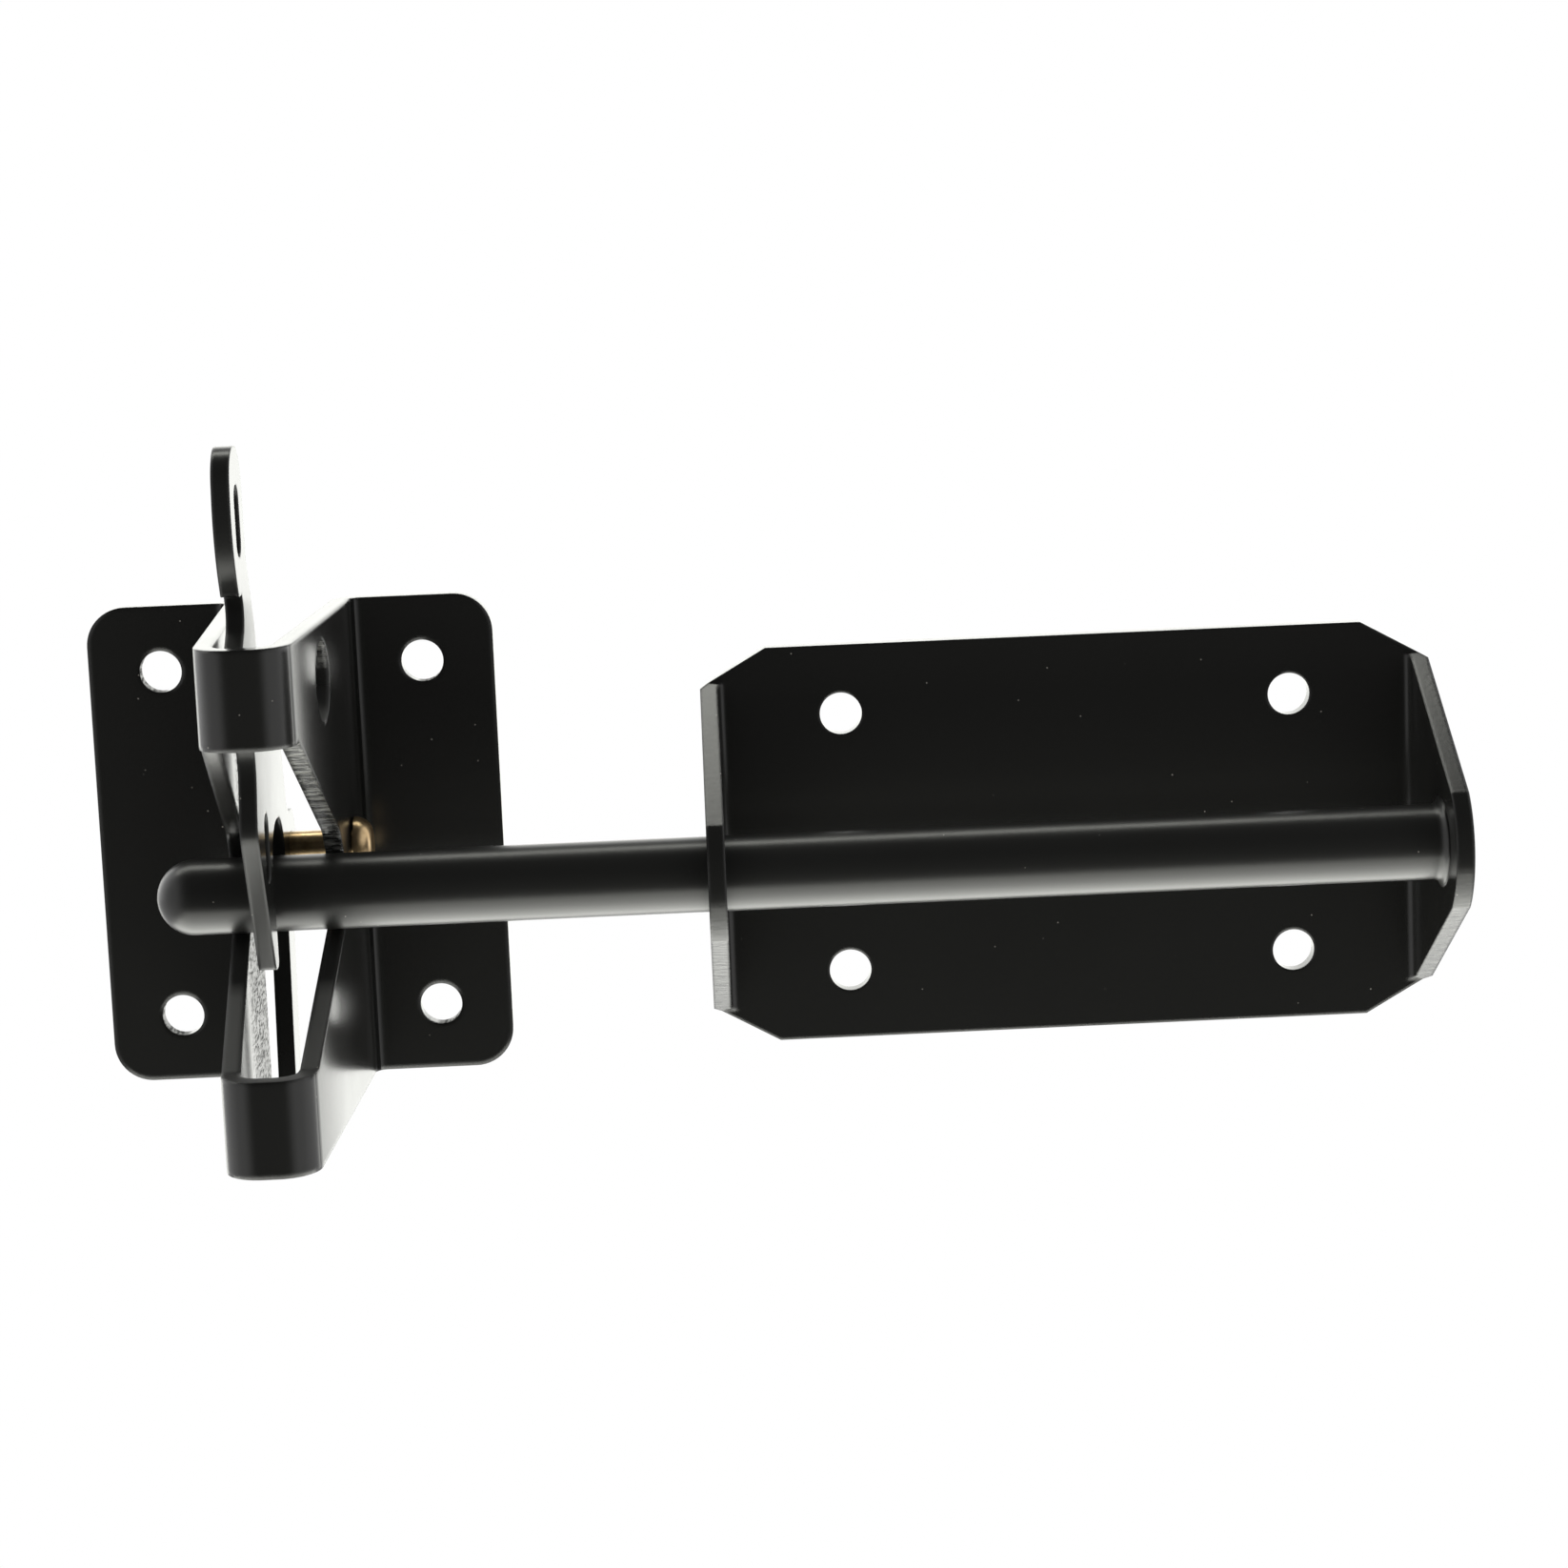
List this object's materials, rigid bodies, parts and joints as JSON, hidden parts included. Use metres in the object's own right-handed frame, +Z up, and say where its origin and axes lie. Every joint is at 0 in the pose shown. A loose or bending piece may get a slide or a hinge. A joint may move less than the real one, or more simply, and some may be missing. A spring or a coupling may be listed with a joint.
{
  "type": "gravity gate latch",
  "caption": "Gravity gate latch: folded steel housing with a hooked lever on a brass pin, and a striker bracket carrying the round bar that the hook holds.",
  "frame": {"origin": "centre of the latch's four screw holes, on the post's face", "axes": "+X along the bar towards the striker, +Z up, -Y out of the post towards the user"},
  "size_m": [0.2322, 0.0706, 0.1146],
  "materials": {
    "housing_coat": "satin black powder coat",
    "pin_brass": "plain brass",
    "lever_coat": "satin black powder coat",
    "bracket_coat": "satin black powder coat",
    "rod_coat": "satin black powder coat"
  },
  "bodies": {
    "latch": {"latch_housing": "housing_coat", "pivot_pin": "pin_brass"},
    "lever": {"latch_lever": "lever_coat"},
    "striker": {"striker_bracket": "bracket_coat", "striker_rod": "rod_coat"}
  },
  "joints": [
    {"name": "gate_slide", "type": "slide", "parent": "latch", "child": "striker", "axis": [0, -1, 0], "range_m": [0, 0.0096]},
    {"name": "lever_turn", "type": "hinge", "parent": "latch", "child": "lever", "pos_m": [-0.00195, -0.0145, 0.0007], "axis": [-1, 0, 0], "range_deg": [0, 36.23]}
  ],
  "couplings": [
    {"joint": "lever_turn", "follows": "gate_slide", "rad_per_m": 65.86}
  ]
}
